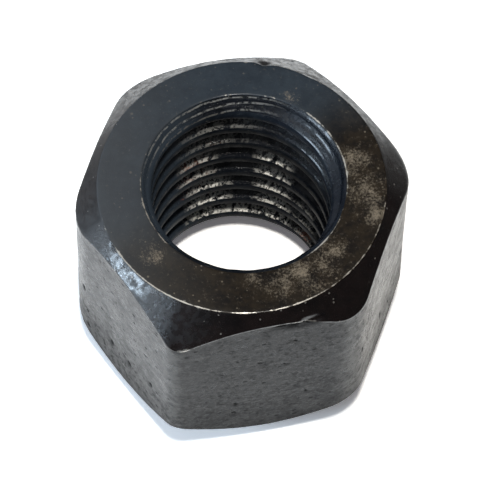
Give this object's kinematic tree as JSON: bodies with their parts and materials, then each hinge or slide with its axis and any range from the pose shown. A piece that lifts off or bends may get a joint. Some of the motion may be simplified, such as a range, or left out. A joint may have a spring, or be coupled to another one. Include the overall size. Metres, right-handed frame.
{
  "type": "wheel nut",
  "caption": "Open hexagon wheel nut in black steel, with a turned outer face, a tapered seat underneath and a coarse internal thread.",
  "frame": {"origin": "on the thread's axis, at the height of the seat end's flat ring", "axes": "+Z along the thread's axis, from the seat end to the outer face; a wrench flat faces -Y"},
  "size_m": [0.03, 0.027, 0.0216],
  "materials": {
    "black_steel": "black oxide under oil, turned face and forged flats, satin"
  },
  "bodies": {
    "root": {"wheel_nut": "black_steel"}
  },
  "joints": []
}
